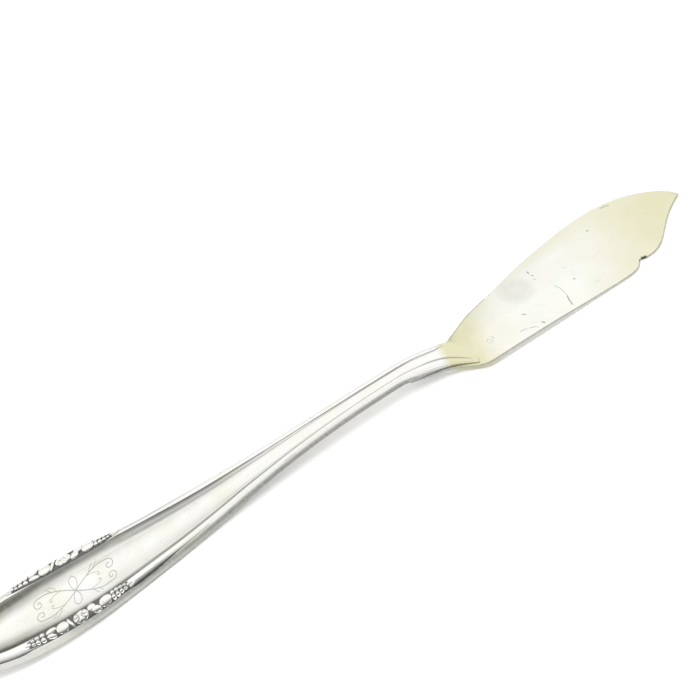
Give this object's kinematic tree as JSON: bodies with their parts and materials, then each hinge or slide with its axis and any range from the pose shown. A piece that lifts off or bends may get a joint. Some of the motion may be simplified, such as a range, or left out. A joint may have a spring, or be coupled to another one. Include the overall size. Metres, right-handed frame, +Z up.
{
  "type": "fish knife",
  "caption": "Flat-handled fish knife with raised rims, beaded ornament and a broad gilt blade with a notched spine.",
  "frame": {"origin": "centre of the whole knife's footprint, on the table that it lies on, face up", "axes": "+X from the handle end to the blade's tip, +Y from the spine to the cutting edge, +Z up"},
  "size_m": [0.2, 0.0216, 0.0068],
  "materials": {
    "silver": "polished silver with fine table scratches",
    "rim_silver": "polished silver, slightly worn",
    "oxidised_silver": "polished beads on an oxidised dark ground",
    "gilt_silver": "pale gold wash over silver, worn on the flat",
    "solder": "satin silver solder"
  },
  "bodies": {
    "root": {"handle_blank": "silver", "spine_side_rim": "rim_silver", "edge_side_rim": "rim_silver", "spine_side_bead_border": "oxidised_silver", "edge_side_bead_border": "oxidised_silver", "blade": "gilt_silver", "neck_solder": "solder"}
  },
  "joints": []
}
